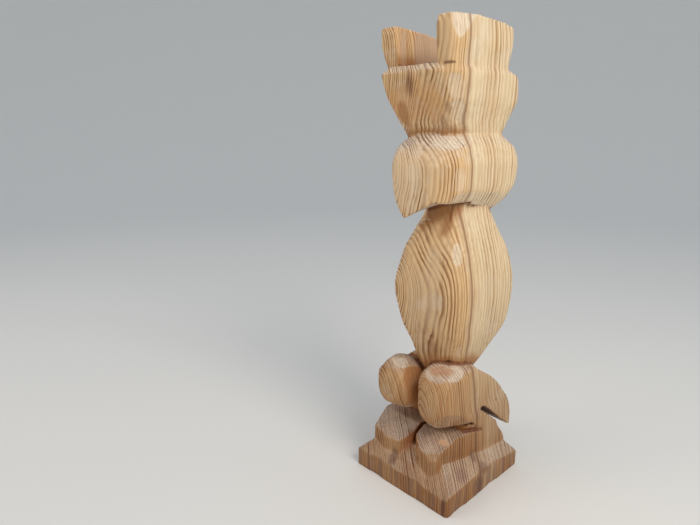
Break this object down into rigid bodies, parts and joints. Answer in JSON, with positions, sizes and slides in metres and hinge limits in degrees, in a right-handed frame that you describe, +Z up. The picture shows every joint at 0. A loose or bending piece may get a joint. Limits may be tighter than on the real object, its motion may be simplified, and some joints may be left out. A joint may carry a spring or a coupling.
{
  "type": "totem pole",
  "caption": "Hand-carved wooden totem with a square base, paired feet and knees, a swept tail, an egg-shaped torso, a beaked head, a flared bowl and a two-slab crown.",
  "frame": {"origin": "on the surface that the carving stands on, under the middle of its base", "axes": "+Z up the carving, -Y the way the beak, knees and toes point, +X to the carving's left-hand side, one saw-cut side of the base"},
  "size_m": [0.095, 0.1, 0.353],
  "materials": {
    "pine": "bare, sanded, no varnish"
  },
  "bodies": {
    "root": {"totem_carving": "pine"}
  },
  "joints": []
}
